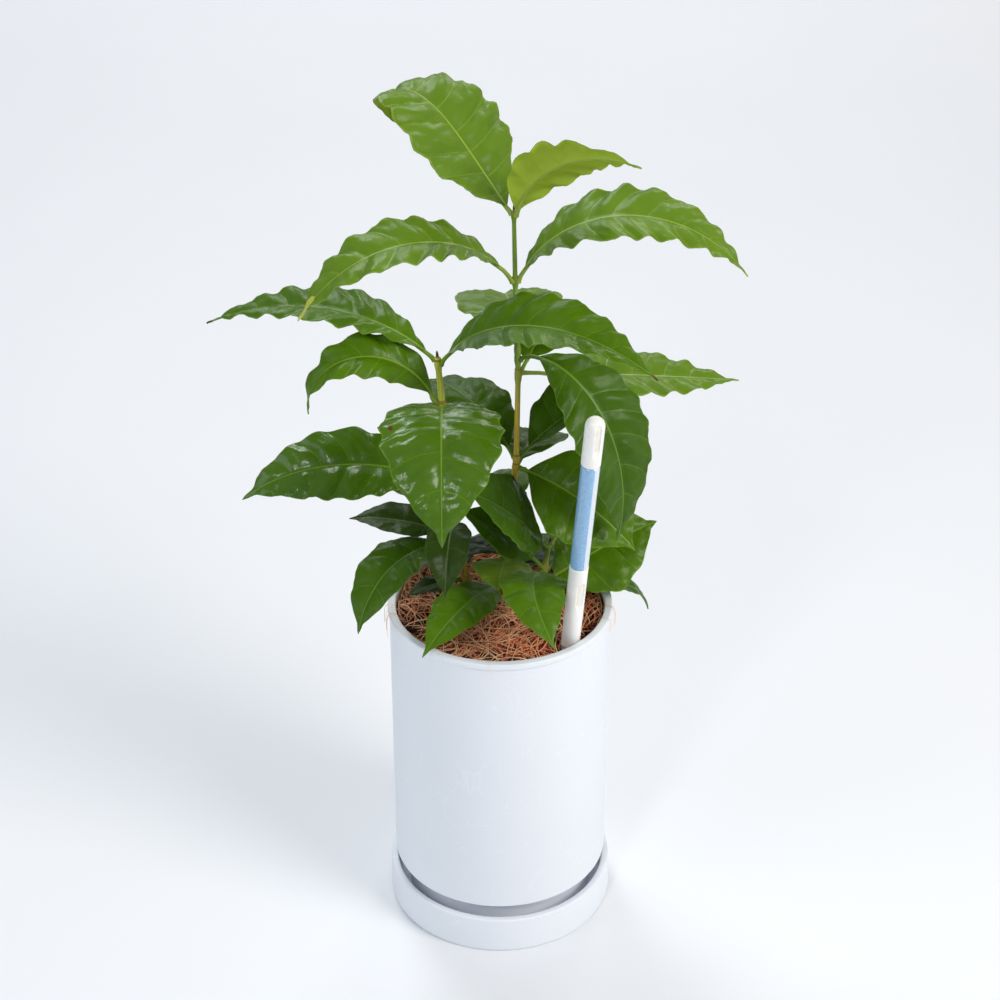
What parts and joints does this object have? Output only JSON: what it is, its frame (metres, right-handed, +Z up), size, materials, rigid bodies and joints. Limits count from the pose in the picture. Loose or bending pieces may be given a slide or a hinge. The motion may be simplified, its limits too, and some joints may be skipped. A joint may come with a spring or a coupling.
{
  "type": "potted coffee plant",
  "caption": "Young coffee plant with wavy glossy leaves on slender stems in a white cylinder pot with saucer, coir topping and a moisture stick.",
  "frame": {"origin": "centre of the saucer's flat underside", "axes": "+Z up, +X to the right seen from the front, -Y towards the front"},
  "size_m": [0.3356, 0.2172, 0.5622],
  "materials": {
    "pot_white": "matt white resin with stone powder, faint streaks",
    "soil": "dark potting soil",
    "coir": "loose brown coir fibre",
    "stick_white": "satin translucent white plastic",
    "stick_blue": "pale blue indicator behind clear plastic",
    "stem": "green to olive brown young bark",
    "leaf": "glossy wavy green leaf"
  },
  "bodies": {
    "root": {"saucer": "pot_white", "pot": "pot_white", "soil": "soil", "coir_mat": "coir", "moisture_stick": "stick_white", "moisture_window": "stick_blue", "stem_main": "stem", "stem_left": "stem", "stem_front": "stem", "leaf_main_top_left": "leaf", "leaf_main_top_right": "leaf", "leaf_main_upper_left": "leaf", "leaf_main_upper_right": "leaf", "leaf_main_upper_back": "leaf", "leaf_main_middle_front": "leaf", "leaf_main_middle_back": "leaf", "leaf_main_middle_right": "leaf", "leaf_main_lower_right": "leaf", "leaf_main_lower_left": "leaf", "leaf_main_lower_back": "leaf", "leaf_main_lower_front": "leaf", "leaf_main_low_back": "leaf", "leaf_left_low_front": "leaf", "leaf_main_foot_left": "leaf", "leaf_main_foot_front": "leaf", "leaf_main_foot_back": "leaf", "leaf_left_top_left": "leaf", "leaf_left_top_right": "leaf", "leaf_left_middle_left": "leaf", "leaf_left_middle_front": "leaf", "leaf_left_lower_left": "leaf", "leaf_left_lower_back": "leaf", "leaf_left_low_left": "leaf", "leaf_left_low_droop": "leaf", "leaf_left_low_back": "leaf", "leaf_left_foot_left": "leaf", "leaf_left_foot_back": "leaf", "leaf_front_top_left": "leaf", "leaf_front_top_back": "leaf", "leaf_front_low_left": "leaf", "leaf_front_low_back": "leaf", "leaf_front_low_right": "leaf", "leaf_front_low_front": "leaf", "leaf_main_foot_right": "leaf", "leaf_front_foot_right": "leaf"}
  },
  "joints": []
}
